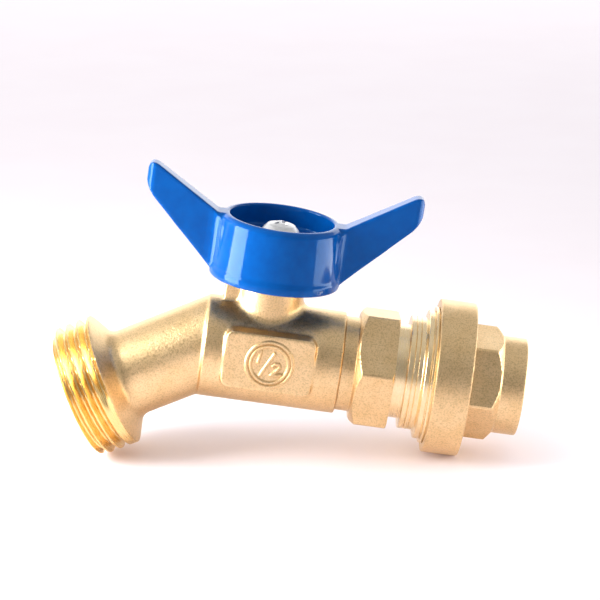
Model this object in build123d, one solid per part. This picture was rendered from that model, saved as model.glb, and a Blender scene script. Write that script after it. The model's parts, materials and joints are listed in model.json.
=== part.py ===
# Quarter-turn hose bib with a soldered inlet coupling.
#
# Origin: centre of the solder socket's mouth.  +X runs out of the socket, along the supply pipe.
# +Z points up the valve stem to the wing handle.  All sizes are in millimetres.
from build123d import *
import math
import os

os.makedirs("parts", exist_ok=True)

STANDING = (Align.CENTER, Align.CENTER, Align.MIN)
PAST = 1.0                  # how far a cutter or a joined piece runs beyond the face it meets
HEX_FLAT_UP = 30.0          # degrees that bring a flat of a hexagon, not a corner, to the top

# ---- inlet coupling: solder socket, wrench hex and threaded ring in one forging ----
SOCKET_BORE_R = 7.99        # takes 1/2 in nominal copper tube, 15.88 mm outside
SOCKET_DEPTH = 12.7
TUBE_STOP = 0.95            # thickness of the shoulder that the tube stops on
TUBE_STOP_R = 6.9
SPIGOT_R = 9.75
SPIGOT_LENGTH = 4.7
SPIGOT_CHAMFER = 0.35
COUPLING_HEX_AF = 20.0
COUPLING_HEX_TURN = 10.0    # degrees, how far one flat leans from straight up towards -Y
COUPLING_HEX_LAND = 1.55    # length of the cone that takes the hexagon down to the spigot
RING_R = 15.4
RING_RIGHT = -11.0
RING_LEFT = -18.25
RING_EDGE_R = 0.45
UNION_BORE_R = 13.6

# ---- union thread between coupling and adapter, M27 x 1 ----
UNION_THREAD_R = 13.45
UNION_THREAD_ROOT_R = 12.87
UNION_PITCH = 1.0
UNION_THREAD_FLAT = 0.14
UNION_GROOVE_START = 0.45
GASKET_THICKNESS = 1.5
GASKET_OUTER_R = 13.0
GASKET_INNER_R = 7.2

# ---- end adapter: stations along the inlet axis, from the nose to the valve body ----
FLANGE_R = 13.72
FLANGE_RIGHT = -18.40
FLANGE_LEFT = -18.96
FLANGE_GROOVE_R = 12.6
RING_TWO_R = 12.95
RING_TWO_RIGHT = -19.2
RING_TWO_LEFT = -20.2
COLLAR_R = 11.35
COLLAR_RIGHT = -20.65
COLLAR_LEFT = -23.6
COLLAR_GROOVE_DEPTH = 0.18
COLLAR_GROOVE_WIDTH = 0.16
COLLAR_GROOVE_STEP = 0.9
MACHINED_NECK_R = 9.45
ADAPTER_HEX_AF = 22.0
ADAPTER_HEX_TURN = -7.6
ADAPTER_HEX_RIGHT = -26.0
ADAPTER_HEX_LEFT = -33.7
HEX_BACK_CONE = 1.35        # along the axis, body side
HEX_BACK_DROP = 0.55
HEX_FRONT_CONE = 0.35       # along the axis, union side
HEX_FRONT_DROP = 0.6
PLAIN_NECK_R = 9.42
ADAPTER_BORE_R = 6.3
ADAPTER_NOSE_BORE_R = 9.0
NOSE_BORE_DEPTH = 3.0
NOSE_CONE_DEPTH = 5.5
NOSE_CHAMFER = 0.5
ADAPTER_THREAD_R = 8.55
ADAPTER_SEAL_GROOVE_R = 7.35
SEAL_GROOVE_WIDTH = 1.7
SEAL_CORD_R = 0.74
ADAPTER_TIP = -44.8
ADAPTER_TIP_R = 7.95
ADAPTER_TIP_LENGTH = 0.6
ADAPTER_TIP_CONE = 0.3

# ---- valve body ----
BODY_R = 10.2
BODY_RIGHT = -36.5
STEM_X = -52.0
BEND_X = -64.0
OUTLET_FALL = 30.0          # degrees below the inlet axis
CHAMBER_R = 8.0
THREAD_BORE_R = 8.6
SEAL_BORE_R = 8.85
PORT_BORE_R = 5.2
BOSS_R = 6.4
BOSS_TOP = 17.5
BOSS_FILLET = 2.2
LUG_INNER = 6.9
LUG_OUTER = 9.35
LUG_HALF_WIDTH = 1.9
LUG_TOP = 18.6
LUG_WEB_TOP = 14.0          # the web that ties the stop lug to the boss
LUG_WEB_LENGTH = 3.0
PAD_LENGTH = 17.9
PAD_HEIGHT = 11.7
PAD_CORNER_R = 1.6
PAD_DRAFT = 3.0             # degrees
PAD_FACE = 10.5
PAD_X = -50.9
PAD_Z = 0.7
MARK_X = -50.7
MARK_RING_R = 4.75
MARK_RING_GAP = 0.95
MARK_RING_LINE = 0.38
MARK_STROKE = 0.42
MARK_RELIEF = 0.35
MARK_ROOT = 0.1             # depth of the mark sunk into the pad
MARK_STROKES = (            # the numeral 1, the fraction bar and the numeral 2, about the ring's centre
    [(-1.9, 1.25), (-1.35, 1.75), (-1.35, -0.1)],
    [(-1.0, -1.9), (1.0, 1.9)],
    [(0.75, -0.25), (1.15, 0.15), (1.75, 0.1), (1.95, -0.35), (0.85, -1.6), (2.1, -1.6)],
)

# ---- outlet: plain tube, flare and 3/4 in hose thread ----
TUBE_R = 8.75
FLARE_START = 16.6          # where the flare's cone would meet the tube
FLARE_FILLET = 2.25
FLARE_END = 19.4
OUTLET_LENGTH = 27.5
OUTLET_BORE_R = 6.7
MOUTH_BORE_R = 8.4
MOUTH_DEPTH = 5.0
RIM_CHAMFER = 0.75
TUBE_INSIDE = 6.0           # length of the tube that runs back into the barrel
OUTLET_ROOM = 80.0          # side of the cube that holds the whole outlet, left of the bend
HOSE_THREAD_R = 13.495      # 3/4 - 11.5 NH, 26.99 mm over the crests
HOSE_THREAD_ROOT_R = 12.1
HOSE_PITCH = 25.4 / 11.5
HOSE_CREST_FLAT = 0.30
HOSE_ROOT_FLAT = 0.35
HOSE_GROOVE_START = 20.0
HOSE_THREAD_PHASE = -115.0  # degrees round the outlet axis from its top to the groove's start

# ---- ball, seats and stem ----
BALL_R = 7.6
PORT_R = 4.75
SEAT_FIT = 0.03
SEAT_OUTER_R = 7.9
SEAT_INNER_R = 5.2
SEAT_NEAR = 4.2
SEAT_FAR = 7.2
STEM_R = 3.5
STEM_FIT = 0.05
STEM_CHAMFER = 0.3
TANG_THICKNESS = 3.0
TANG_WIDTH = 7.0
TANG_BOTTOM = 5.0
TANG_ROUND = 1.2             # the tang ends on a sphere this much larger than the ball
SLOT_FIT = 0.10
STEM_COLLAR_R = 4.1
STEM_COLLAR_BOTTOM = 7.75
STEM_COLLAR_TOP = 9.25
THRUST_WASHER = 0.6
O_RING_BOTTOM = 10.2
O_RING_CORD_R = 0.5
O_RING_GROOVE_R = 2.5
O_RING_SIDE_FIT = 0.1
O_RING_FIT = 0.02
STEM_LAND_TOP = 11.8
PACKING_R = 4.95
PACKING_HEIGHT = 1.0
PACKING_RINGS = 3
FOLLOWER_TOP = 15.7
GLAND_THREAD_R = 5.35
GLAND_BORE_R = 5.4
GLAND_THREAD_BOTTOM = 15.0
GLAND_HEX_AF = 11.0
GLAND_TOP = 20.0
GLAND_CHAMFER = 0.6
FLATS_BOTTOM = 20.5
FLATS_HALF = 2.4
STEM_TOP = 23.4
TAPPED_R = 2.05
TAPPED_BOTTOM = 13.0

# ---- wing handle ----
SKIRT_BOTTOM = 15.27
SKIRT_LIP_TOP = 17.2
SKIRT_LIP_R = 13.1
SKIRT_EDGE_R = 0.5
SKIRT_OVERLAP = 0.7
HUB_FOOT_R = 12.75
HUB_R = 12.1
HUB_EDGE_R = 0.9            # rounding of the cup's outer rim
HUB_TOP = 27.9
CUP_R = 10.4
CUP_FLOOR = 23.6
CAVITY_R = 10.9
CAVITY_TOP = 20.6
WING_ROOT_HALF = 2.3
WING_TIP_HALF = 1.8
WING_TIP_X = 27.5
WING_TIP_LEAN = 0.8         # how far the top of the tip stands in from its lower corner
WING_TIP_TOP = 36.9
WING_TIP_LOW = 30.6
WING_ROOT_X = 13.0
WING_ROOT_LOW = 16.0
WING_TIP_ROUND = 1.5
STOP_RIB_HALF = 1.2
STOP_RIB_INNER = 6.75
STOP_RIB_ROOT = 0.3
STOP_RIB_RISE = 1.0         # height of the ribs' lower ends above the skirt's rim
FLATS_FIT = 0.05
STOP_ANGLE = 27.4           # degrees from the lug's middle to the middle of a touching stop rib

# ---- handle fixing ----
SCREW_R = 1.98
SCREW_BOTTOM = 15.0
SCREW_HEAD_R = 3.75
SCREW_HEAD_HEIGHT = 2.3
SCREW_HEAD_ROUND = 1.9
RECESS_LENGTH = 3.8
RECESS_WIDTH = 0.9
RECESS_DEPTH = 1.0
FLAT_WASHER_HEIGHT = 0.5
FLAT_WASHER_OUTER_R = 4.4
LOCK_WASHER_HEIGHT = 0.7
LOCK_WASHER_OUTER_R = 3.6
WASHER_INNER_R = 2.15
SPLIT_ANGLE = 30.0
SPLIT_WIDTH = 0.5


def turned(points, rounded_corner=None, corner_r=0):
    """Solid of revolution about +X from (station, radius) points, with one corner filleted if given."""
    outline = make_face(Polyline(*points, close=True))
    if rounded_corner:
        outline = fillet(outline.vertices().sort_by_distance((*rounded_corner, 0))[0], corner_r)
    return revolve(Plane.XZ * outline, Axis.X, 360)


def drum(x_low, x_high, radius):
    """Plain cylinder on the inlet axis between two stations."""
    length = x_high - x_low
    return Pos((x_low + x_high) / 2, 0, 0) * Rot(0, 90, 0) * Cylinder(radius, length)


def post(z_low, z_high, radius, x=STEM_X):
    """Plain cylinder on the stem axis between two heights."""
    return Pos(x, 0, (z_low + z_high) / 2) * Cylinder(radius, z_high - z_low)


def washer(z_low, z_high, inner, outer):
    """Ring on the stem axis."""
    return post(z_low, z_high, outer) - post(z_low - PAST, z_high + PAST, inner)


def hex_bar(x_low, x_high, across_flats, turn):
    """Hexagonal bar on the inlet axis; one flat leans turn degrees from +Z towards -Y."""
    length = x_high - x_low
    section = RegularPolygon(across_flats / 2, 6, major_radius=False)
    bar = extrude(section, length / 2, both=True)
    middle = Pos((x_low + x_high) / 2, 0, 0)
    return middle * Rot(turn + HEX_FLAT_UP, 0, 0) * Rot(0, 90, 0) * bar


def helical_groove(pitch, root_r, crest_r, floor_width, crest_width, length):
    """Cutter for a right-hand thread groove about +X, starting at x = 0."""
    overshoot = 0.15
    depth = crest_r - root_r
    half_floor = floor_width / 2
    half_mouth = (pitch - crest_width) / 2
    half_top = half_mouth + (half_mouth - half_floor) * overshoot / depth
    path = Helix(pitch, length, root_r)
    section = Plane(origin=path @ 0, x_dir=(1, 0, 0), z_dir=path % 0) * make_face(Polyline(
        (0, -half_floor), (depth + overshoot, -half_top),
        (depth + overshoot, half_top), (0, half_floor), close=True,
    ))
    return Rot(0, 90, 0) * sweep(section, path, is_frenet=True)


def outlet_frame():
    """Location at the bend whose +X runs down the outlet axis."""
    return Pos(BEND_X, 0, 0) * Rot(0, 180 - OUTLET_FALL, 0)


def make_inlet_coupling():
    """Socket, wrench hex and threaded ring in one forging."""
    spigot = drum(RING_RIGHT, 0, SPIGOT_R)
    spigot = chamfer(spigot.edges().filter_by(GeomType.CIRCLE).sort_by(Axis.X)[-1], SPIGOT_CHAMFER)
    bar = hex_bar(RING_RIGHT - PAST, -SPIGOT_LENGTH, COUPLING_HEX_AF, COUPLING_HEX_TURN)
    corner_r = COUPLING_HEX_AF / math.sqrt(3)
    crown = turned([
        (RING_RIGHT - 2 * PAST, 0), (RING_RIGHT - 2 * PAST, corner_r),
        (-SPIGOT_LENGTH - COUPLING_HEX_LAND, corner_r), (-SPIGOT_LENGTH, SPIGOT_R), (-SPIGOT_LENGTH, 0),
    ])
    ring = drum(RING_LEFT, RING_RIGHT, RING_R)
    ring = fillet(ring.edges().filter_by(GeomType.CIRCLE), RING_EDGE_R)
    chamber_floor = -SOCKET_DEPTH - TUBE_STOP
    hollow = (
        drum(-SOCKET_DEPTH, PAST, SOCKET_BORE_R)
        + drum(chamber_floor - PAST, -SOCKET_DEPTH + PAST, TUBE_STOP_R)
        + drum(RING_LEFT - PAST, chamber_floor, UNION_BORE_R)
    )
    return spigot + (bar & crown) + ring - hollow


def make_union_gasket():
    """Flat fibre gasket at the bottom of the coupling's ring."""
    right = -SOCKET_DEPTH - TUBE_STOP
    left = right - GASKET_THICKNESS
    return drum(left, right, GASKET_OUTER_R) - drum(left - PAST, right + PAST, GASKET_INNER_R)


def make_end_adapter():
    """Turned and forged adapter: male union thread, flanges, wrench hex and body thread."""
    nose = -SOCKET_DEPTH - TUBE_STOP - GASKET_THICKNESS
    tip_shoulder = ADAPTER_TIP + ADAPTER_TIP_LENGTH
    profile = [
        (nose, 0), (nose, UNION_THREAD_ROOT_R), (nose - NOSE_CHAMFER, UNION_THREAD_R),
        (FLANGE_RIGHT, UNION_THREAD_R), (FLANGE_RIGHT, FLANGE_R), (FLANGE_LEFT, FLANGE_R),
        (FLANGE_LEFT, FLANGE_GROOVE_R), (RING_TWO_RIGHT, FLANGE_GROOVE_R),
        (RING_TWO_RIGHT, RING_TWO_R), (RING_TWO_LEFT, RING_TWO_R),
        (COLLAR_RIGHT, COLLAR_R), (COLLAR_LEFT, COLLAR_R),
        (COLLAR_LEFT, MACHINED_NECK_R), (ADAPTER_HEX_RIGHT, MACHINED_NECK_R),
        (ADAPTER_HEX_RIGHT, PLAIN_NECK_R), (BODY_RIGHT, PLAIN_NECK_R),
        (BODY_RIGHT, ADAPTER_SEAL_GROOVE_R),
        (BODY_RIGHT - SEAL_GROOVE_WIDTH, ADAPTER_SEAL_GROOVE_R),
        (BODY_RIGHT - SEAL_GROOVE_WIDTH, ADAPTER_THREAD_R),
        (tip_shoulder + ADAPTER_TIP_CONE, ADAPTER_THREAD_R), (tip_shoulder, ADAPTER_TIP_R),
        (ADAPTER_TIP, ADAPTER_TIP_R), (ADAPTER_TIP, 0),
    ]
    core = turned(profile)
    for number in (1, 2):
        right = COLLAR_RIGHT - number * COLLAR_GROOVE_STEP
        left = right - COLLAR_GROOVE_WIDTH
        cutter = drum(left, right, COLLAR_R + PAST)
        core -= cutter - drum(left, right, COLLAR_R - COLLAR_GROOVE_DEPTH)
    bar = hex_bar(ADAPTER_HEX_LEFT, ADAPTER_HEX_RIGHT, ADAPTER_HEX_AF, ADAPTER_HEX_TURN)
    corner_r = ADAPTER_HEX_AF / math.sqrt(3)
    crown = turned([
        (ADAPTER_HEX_LEFT, 0), (ADAPTER_HEX_LEFT, ADAPTER_HEX_AF / 2 - HEX_BACK_DROP),
        (ADAPTER_HEX_LEFT + HEX_BACK_CONE, corner_r), (ADAPTER_HEX_RIGHT - HEX_FRONT_CONE, corner_r),
        (ADAPTER_HEX_RIGHT, corner_r - HEX_FRONT_DROP), (ADAPTER_HEX_RIGHT, 0),
    ])
    thread_groove = Pos(FLANGE_RIGHT + UNION_GROOVE_START, 0, 0) * helical_groove(
        UNION_PITCH, UNION_THREAD_ROOT_R, UNION_THREAD_R, UNION_THREAD_FLAT, UNION_THREAD_FLAT,
        nose - FLANGE_RIGHT + UNION_PITCH,
    )
    nose_bore = turned([
        (nose - NOSE_CONE_DEPTH, 0), (nose - NOSE_CONE_DEPTH, ADAPTER_BORE_R),
        (nose - NOSE_BORE_DEPTH, ADAPTER_NOSE_BORE_R), (nose + PAST, ADAPTER_NOSE_BORE_R), (nose + PAST, 0),
    ])
    bore = drum(ADAPTER_TIP - PAST, nose + PAST, ADAPTER_BORE_R) + nose_bore
    return core + (bar & crown) - thread_groove - bore


def make_adapter_o_ring():
    """Seal between adapter and body, in the groove behind the thread."""
    middle = BODY_RIGHT - SEAL_GROOVE_WIDTH / 2
    return Pos(middle, 0, 0) * Rot(0, 90, 0) * Torus(ADAPTER_SEAL_GROOVE_R + SEAL_CORD_R, SEAL_CORD_R)


def size_mark():
    """Raised nominal size, one half, as plain strokes inside a double ring."""
    with BuildSketch() as mark:
        for radius in (MARK_RING_R, MARK_RING_R - MARK_RING_GAP):
            Circle(radius)
            Circle(radius - MARK_RING_LINE, mode=Mode.SUBTRACT)
    strokes = Sketch()
    for points in MARK_STROKES:
        strokes += trace(Polyline(*points), MARK_STROKE)
    return mark.sketch + strokes


def make_outlet():
    """Tube, flare and hose thread, along +X from the bend."""
    flare_foot = (FLARE_START, TUBE_R)
    blank = turned([
        (-TUBE_INSIDE, 0), (-TUBE_INSIDE, TUBE_R), flare_foot, (FLARE_END, HOSE_THREAD_R),
        (OUTLET_LENGTH - RIM_CHAMFER, HOSE_THREAD_R), (OUTLET_LENGTH, HOSE_THREAD_R - RIM_CHAMFER),
        (OUTLET_LENGTH, 0),
    ], flare_foot, FLARE_FILLET)
    groove = helical_groove(
        HOSE_PITCH, HOSE_THREAD_ROOT_R, HOSE_THREAD_R, HOSE_ROOT_FLAT, HOSE_CREST_FLAT,
        OUTLET_LENGTH - HOSE_GROOVE_START + HOSE_PITCH,
    )
    return blank - Pos(HOSE_GROOVE_START, 0, 0) * Rot(HOSE_THREAD_PHASE, 0, 0) * groove


def make_valve_body():
    """Forged body: ball chamber, stem boss, stop lug, size pads and bent hose outlet."""
    barrel = drum(BEND_X, BODY_RIGHT, BODY_R)
    left_side = Pos(BEND_X, 0, 0) * Box(
        OUTLET_ROOM, OUTLET_ROOM, OUTLET_ROOM, align=(Align.MAX, Align.CENTER, Align.CENTER))
    outlet = (outlet_frame() * make_outlet()) & left_side
    tee = barrel + post(0, BOSS_TOP, BOSS_R)
    boss_foot = tee.edges().filter_by(lambda edge: STEM_X - BODY_R < edge.center().X < STEM_X + BODY_R
                                      and 0 < edge.center().Z < BOSS_TOP - PAST)
    tee = fillet(boss_foot, BOSS_FILLET)
    lug = Pos(STEM_X - (LUG_INNER + LUG_OUTER) / 2, 0, LUG_TOP / 2) * Box(
        LUG_OUTER - LUG_INNER, 2 * LUG_HALF_WIDTH, LUG_TOP)
    lug_web = Pos(STEM_X - BOSS_R, 0, LUG_WEB_TOP / 2) * Box(
        LUG_WEB_LENGTH, 2 * LUG_HALF_WIDTH, LUG_WEB_TOP)
    body = tee + outlet + lug + lug_web
    draft = PAD_FACE * math.tan(math.radians(PAD_DRAFT))
    pad_foot = RectangleRounded(PAD_LENGTH + 2 * draft, PAD_HEIGHT + 2 * draft, PAD_CORNER_R + draft)
    for turn, pad_x in ((0, PAD_X), (180, -PAD_X)):
        pad = extrude(Pos(pad_x, PAD_Z) * pad_foot, PAD_FACE, taper=PAD_DRAFT)
        body += Rot(0, 0, turn) * Rot(90, 0, 0) * pad
    mark_plane = Plane(origin=(MARK_X, MARK_ROOT - PAD_FACE, PAD_Z), x_dir=(1, 0, 0), z_dir=(0, -1, 0))
    body += extrude(mark_plane * size_mark(), MARK_RELIEF + MARK_ROOT)
    return body - make_waterway()


def make_waterway():
    """Everything that is bored out of the body: chamber, ports, outlet and stem bore."""
    chamber_left = STEM_X - SEAT_FAR
    mouth_floor = OUTLET_LENGTH - MOUTH_DEPTH
    return (
        drum(chamber_left, BODY_RIGHT + PAST, CHAMBER_R)
        + drum(ADAPTER_TIP, BODY_RIGHT + PAST, THREAD_BORE_R)
        + drum(BODY_RIGHT - SEAL_GROOVE_WIDTH, BODY_RIGHT + PAST, SEAL_BORE_R)
        + drum(BEND_X, chamber_left + PAST, PORT_BORE_R)
        + Pos(BEND_X, 0, 0) * Sphere(OUTLET_BORE_R)
        + outlet_frame() * drum(0, OUTLET_LENGTH + PAST, OUTLET_BORE_R)
        + outlet_frame() * drum(mouth_floor, OUTLET_LENGTH + PAST, MOUTH_BORE_R)
        + post(0, STEM_COLLAR_TOP + THRUST_WASHER, STEM_COLLAR_R + STEM_FIT)
        + post(0, STEM_LAND_TOP + PAST, STEM_R + STEM_FIT)
        + post(STEM_LAND_TOP, BOSS_TOP, PACKING_R + STEM_FIT)
        + post(GLAND_THREAD_BOTTOM, BOSS_TOP + PAST, GLAND_BORE_R)
    )


def make_ball():
    """Ball with a straight port along the open direction and a slot for the stem."""
    ball = Pos(STEM_X, 0, 0) * Sphere(BALL_R)
    port = drum(STEM_X - BALL_R - PAST, STEM_X + BALL_R + PAST, PORT_R)
    slot_width = TANG_THICKNESS + 2 * SLOT_FIT
    slot_floor = TANG_BOTTOM - SLOT_FIT
    slot = Pos(STEM_X, 0, slot_floor) * Box(
        TANG_WIDTH + 2 * SLOT_FIT, slot_width, BALL_R - slot_floor + PAST, align=STANDING)
    return ball - port - slot


def make_seat(side):
    """Seat ring on the outlet side (-1) or the inlet side (+1), hollowed to fit the ball."""
    hollow_r = BALL_R + SEAT_FIT
    lip_r = math.sqrt(hollow_r**2 - SEAT_NEAR**2)
    throat = math.sqrt(hollow_r**2 - SEAT_INNER_R**2)
    half_turn = (math.atan2(lip_r, SEAT_NEAR) + math.atan2(SEAT_INNER_R, throat)) / 2
    crown = (hollow_r * math.cos(half_turn), hollow_r * math.sin(half_turn))
    outline = Polyline(
        (throat, SEAT_INNER_R), (SEAT_FAR, SEAT_INNER_R), (SEAT_FAR, SEAT_OUTER_R),
        (SEAT_NEAR, SEAT_OUTER_R), (SEAT_NEAR, lip_r),
    ) + ThreePointArc((SEAT_NEAR, lip_r), crown, (throat, SEAT_INNER_R))
    seat = revolve(Plane.XZ * make_face(outline), Axis.X, 360)
    return Pos(STEM_X, 0, 0) * Rot(0, 0, 0 if side > 0 else 180) * seat


def make_stem():
    """Stem with ball tang, blow-out collar, double flats and a tapped end."""
    shaft = post(STEM_COLLAR_BOTTOM, STEM_TOP, STEM_R)
    shaft = chamfer(shaft.edges().filter_by(GeomType.CIRCLE).sort_by(Axis.Z)[-1], STEM_CHAMFER)
    collar = post(STEM_COLLAR_BOTTOM, STEM_COLLAR_TOP, STEM_COLLAR_R)
    tang = Pos(STEM_X, 0, TANG_BOTTOM) * Box(
        TANG_WIDTH, TANG_THICKNESS, STEM_COLLAR_BOTTOM - TANG_BOTTOM + PAST / 2, align=STANDING)
    tang &= Pos(STEM_X, 0, 0) * Sphere(BALL_R + TANG_ROUND)
    stem = shaft + collar + tang
    cut_depth = STEM_R - FLATS_HALF + PAST
    flat_cut = Box(2 * (STEM_R + PAST), cut_depth, STEM_TOP + PAST - FLATS_BOTTOM, align=STANDING)
    for side in (-1, 1):
        stem -= Pos(STEM_X, side * (FLATS_HALF + cut_depth / 2), FLATS_BOTTOM) * flat_cut
    groove_bottom = O_RING_BOTTOM - O_RING_SIDE_FIT
    groove_top = O_RING_BOTTOM + 2 * O_RING_CORD_R + O_RING_SIDE_FIT
    stem -= washer(groove_bottom, groove_top, O_RING_GROOVE_R, STEM_R + PAST)
    return stem - post(TAPPED_BOTTOM, STEM_TOP + PAST, TAPPED_R)


def make_stem_o_ring():
    """O-ring in the stem's groove, below the packing."""
    cord_r = O_RING_CORD_R - O_RING_FIT
    return Pos(STEM_X, 0, O_RING_BOTTOM + O_RING_CORD_R) * Torus(STEM_R - cord_r, cord_r)


def make_gland_nut():
    """Hollow screw that presses the packing down round the stem."""
    hexagon = extrude(RegularPolygon(GLAND_HEX_AF / 2, 6, major_radius=False), GLAND_TOP - BOSS_TOP)
    head = Pos(STEM_X, 0, BOSS_TOP) * hexagon
    corner_r = GLAND_HEX_AF / math.sqrt(3)
    crown = post(BOSS_TOP, GLAND_TOP, corner_r)
    crown = chamfer(crown.edges().filter_by(GeomType.CIRCLE).sort_by(Axis.Z)[-1], GLAND_CHAMFER)
    nut = (head & crown) + post(FOLLOWER_TOP, BOSS_TOP + PAST, GLAND_THREAD_R)
    return nut - post(FOLLOWER_TOP - PAST, GLAND_TOP + PAST, STEM_R + STEM_FIT)


def make_wings():
    """Both wings with the hub zone between them: rounded side view, tapering in plan."""
    side_outline = Polyline(
        (-WING_ROOT_X, WING_ROOT_LOW), (WING_ROOT_X, WING_ROOT_LOW), (WING_TIP_X, WING_TIP_LOW),
        (WING_TIP_X - WING_TIP_LEAN, WING_TIP_TOP), (HUB_R, HUB_TOP), (-HUB_R, HUB_TOP),
        (WING_TIP_LEAN - WING_TIP_X, WING_TIP_TOP), (-WING_TIP_X, WING_TIP_LOW), close=True,
    )
    side_view = make_face(side_outline)
    tip_corners = side_view.vertices().filter_by(lambda corner: abs(corner.X) > WING_ROOT_X + PAST)
    side_view = fillet(tip_corners, WING_TIP_ROUND)
    reach = WING_TIP_X + PAST
    plan_view = make_face(Polyline(
        (-reach, -WING_TIP_HALF), (-HUB_R, -WING_ROOT_HALF), (HUB_R, -WING_ROOT_HALF),
        (reach, -WING_TIP_HALF), (reach, WING_TIP_HALF), (HUB_R, WING_ROOT_HALF),
        (-HUB_R, WING_ROOT_HALF), (-reach, WING_TIP_HALF), close=True,
    ))
    slab = extrude(Plane.XZ * side_view, WING_ROOT_HALF + PAST, both=True)
    return slab & extrude(plan_view, WING_TIP_TOP + PAST)


def make_handle():
    """Wing handle: cup on top, hollow skirt below with a hub for the stem and two stop ribs."""
    skirt = Pos(0, 0, SKIRT_BOTTOM) * Cylinder(SKIRT_LIP_R, SKIRT_LIP_TOP - SKIRT_BOTTOM, align=STANDING)
    skirt = fillet(skirt.edges().filter_by(GeomType.CIRCLE), SKIRT_EDGE_R)
    hub_bottom = SKIRT_LIP_TOP - SKIRT_OVERLAP
    hub = Pos(0, 0, hub_bottom) * Cone(HUB_FOOT_R, HUB_R, HUB_TOP - hub_bottom, align=STANDING)
    hub = fillet(hub.edges().filter_by(GeomType.CIRCLE).sort_by(Axis.Z)[-1], HUB_EDGE_R)
    cavity = Pos(0, 0, SKIRT_BOTTOM - PAST) * Cylinder(
        CAVITY_R, CAVITY_TOP - SKIRT_BOTTOM + PAST, align=STANDING)
    cup = Pos(0, 0, CUP_FLOOR) * Cylinder(CUP_R, WING_TIP_TOP - CUP_FLOOR, align=STANDING)
    stem_hole = Cylinder(STEM_R + FLATS_FIT, CUP_FLOOR + PAST, align=STANDING)
    stem_hole &= Box(2 * CUP_R, 2 * (FLATS_HALF + FLATS_FIT), CUP_FLOOR + PAST, align=STANDING)
    handle = skirt + hub + make_wings() - cavity - cup - stem_hole
    rib_length = CAVITY_R + STOP_RIB_ROOT - STOP_RIB_INNER
    rib_bottom = SKIRT_BOTTOM + STOP_RIB_RISE
    rib = Pos(-STOP_RIB_INNER - rib_length / 2, 0, rib_bottom) * Box(
        rib_length, 2 * STOP_RIB_HALF, CAVITY_TOP - rib_bottom, align=STANDING)
    for angle in (-STOP_ANGLE, 90 + STOP_ANGLE):
        handle += Rot(0, 0, angle) * rib
    return Pos(STEM_X, 0, 0) * handle


def make_handle_screw():
    """Pan-head screw down into the stem."""
    seat = CUP_FLOOR + FLAT_WASHER_HEIGHT + LOCK_WASHER_HEIGHT
    head = post(seat, seat + SCREW_HEAD_HEIGHT, SCREW_HEAD_R)
    head = fillet(head.edges().filter_by(GeomType.CIRCLE).sort_by(Axis.Z)[-1], SCREW_HEAD_ROUND)
    recess_arm = Box(RECESS_LENGTH, RECESS_WIDTH, RECESS_DEPTH + PAST, align=STANDING)
    recess_floor = seat + SCREW_HEAD_HEIGHT - RECESS_DEPTH
    recess = Pos(STEM_X, 0, recess_floor) * (recess_arm + Rot(0, 0, 90) * recess_arm)
    return head + post(SCREW_BOTTOM, seat + PAST, SCREW_R) - recess


def make_lock_washer():
    """Split spring washer under the screw head."""
    low = CUP_FLOOR + FLAT_WASHER_HEIGHT
    ring = washer(low, low + LOCK_WASHER_HEIGHT, WASHER_INNER_R, LOCK_WASHER_OUTER_R)
    middle = Pos(STEM_X + LOCK_WASHER_OUTER_R, 0, low + LOCK_WASHER_HEIGHT / 2)
    split_length = 2 * (LOCK_WASHER_OUTER_R - WASHER_INNER_R + PAST / 2)
    return ring - middle * Rot(SPLIT_ANGLE, 0, 0) * Box(split_length, SPLIT_WIDTH, 4 * PAST)


pieces = {
    "inlet_coupling": make_inlet_coupling(),
    "union_gasket": make_union_gasket(),
    "end_adapter": make_end_adapter(),
    "adapter_o_ring": make_adapter_o_ring(),
    "valve_body": make_valve_body(),
    "ball": make_ball(),
    "outlet_seat": make_seat(-1),
    "inlet_seat": make_seat(1),
    "stem": make_stem(),
    "stem_o_ring": make_stem_o_ring(),
    "stem_thrust_washer": washer(
        STEM_COLLAR_TOP, STEM_COLLAR_TOP + THRUST_WASHER, STEM_R + STEM_FIT, STEM_COLLAR_R),
    "gland_nut": make_gland_nut(),
    "handle": make_handle(),
    "handle_screw": make_handle_screw(),
    "handle_flat_washer": washer(
        CUP_FLOOR, CUP_FLOOR + FLAT_WASHER_HEIGHT, WASHER_INNER_R, FLAT_WASHER_OUTER_R),
    "handle_lock_washer": make_lock_washer(),
}
packing_top = STEM_LAND_TOP
for number in range(1, PACKING_RINGS + 1):
    pieces[f"packing_ring_{number}"] = washer(
        packing_top, packing_top + PACKING_HEIGHT, STEM_R + STEM_FIT, PACKING_R)
    packing_top += PACKING_HEIGHT
pieces["gland_follower"] = washer(packing_top, FOLLOWER_TOP, STEM_R + STEM_FIT, PACKING_R)

for name, piece in pieces.items():
    export_step(piece, f"parts/{name}.step")
    print(name, round(piece.volume, 1))
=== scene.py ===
# Looks for the hose bib: forged and turned brass, blue enamelled wing handle, pale studio.
import json
import math

import bmesh
import bpy
import numpy as np
from mathutils import Matrix, Vector


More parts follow.
